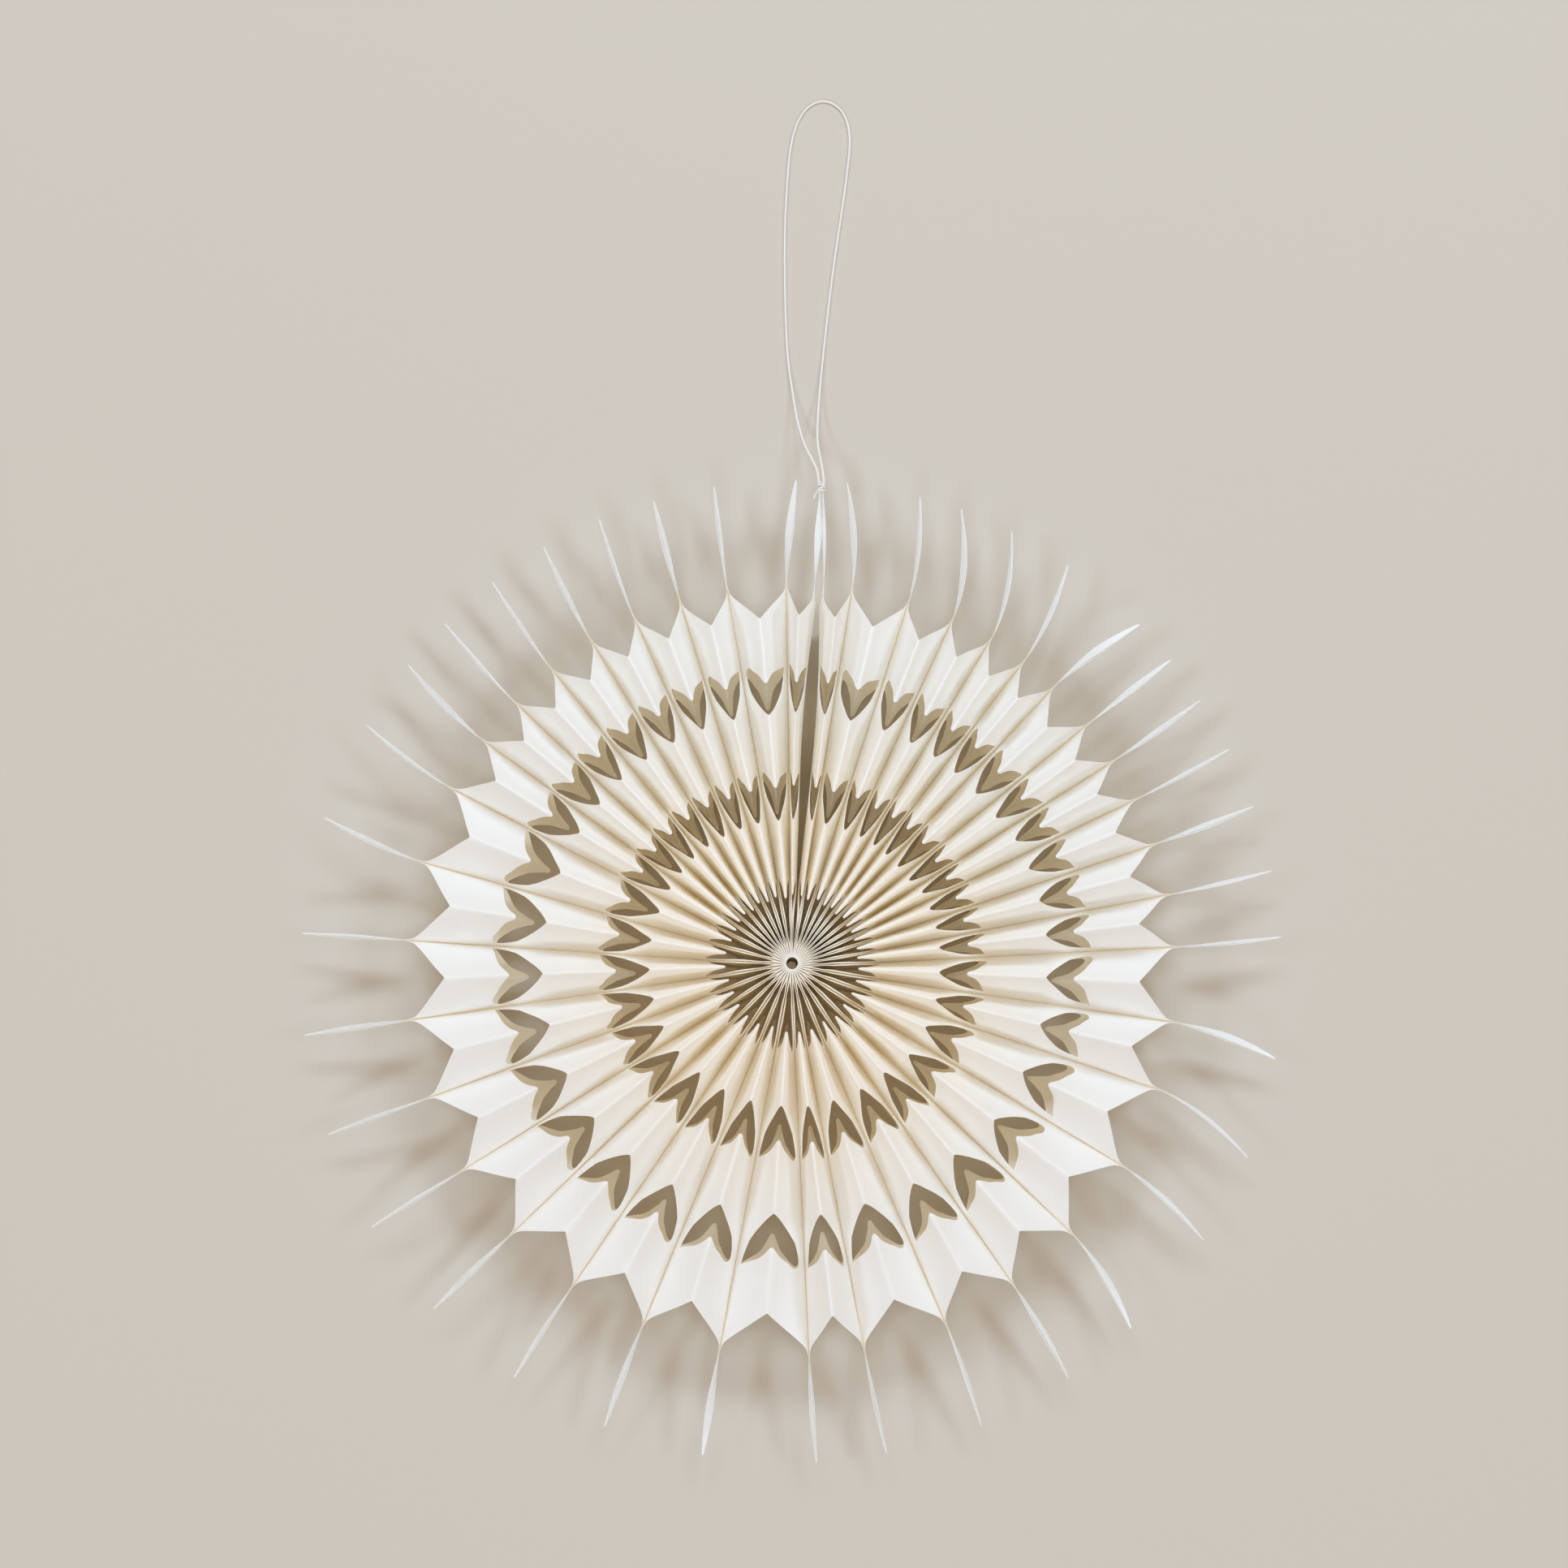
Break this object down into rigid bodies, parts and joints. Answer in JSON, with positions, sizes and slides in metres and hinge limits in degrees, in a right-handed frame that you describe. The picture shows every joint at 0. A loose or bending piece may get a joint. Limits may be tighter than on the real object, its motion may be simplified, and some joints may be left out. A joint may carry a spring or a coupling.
{
  "type": "paper snowflake",
  "caption": "Hanging snowflake of folded paper: a round fan of glued leaves with rings of heart-shaped windows, long curling tips and a thread loop.",
  "frame": {"origin": "on the axis of the snowflake, in the plane of the table that its back rests on", "axes": "+Z along the axis, out of the front; +Y towards the seam and the hanging loop; +X to the right as seen from the front"},
  "size_m": [0.399, 0.5627, 0.0579],
  "materials": {
    "white_paper": "matte",
    "cotton_thread": "matte"
  },
  "bodies": {
    "root": {"leaf_01": "white_paper", "leaf_02": "white_paper", "leaf_03": "white_paper", "leaf_04": "white_paper", "leaf_05": "white_paper", "leaf_06": "white_paper", "leaf_07": "white_paper", "leaf_08": "white_paper", "leaf_09": "white_paper", "leaf_10": "white_paper", "leaf_11": "white_paper", "leaf_12": "white_paper", "leaf_13": "white_paper", "leaf_14": "white_paper", "leaf_15": "white_paper", "leaf_16": "white_paper", "leaf_17": "white_paper", "leaf_18": "white_paper", "leaf_19": "white_paper", "leaf_20": "white_paper", "leaf_21": "white_paper", "leaf_22": "white_paper", "leaf_23": "white_paper", "leaf_24": "white_paper", "leaf_25": "white_paper", "leaf_26": "white_paper", "leaf_27": "white_paper", "leaf_28": "white_paper", "leaf_29": "white_paper", "leaf_30": "white_paper", "leaf_31": "white_paper", "leaf_32": "white_paper", "leaf_33": "white_paper", "leaf_34": "white_paper", "leaf_35": "white_paper", "leaf_36": "white_paper", "leaf_37": "white_paper", "leaf_38": "white_paper", "leaf_39": "white_paper", "loop_knot": "cotton_thread", "hanging_loop": "cotton_thread"}
  },
  "joints": []
}
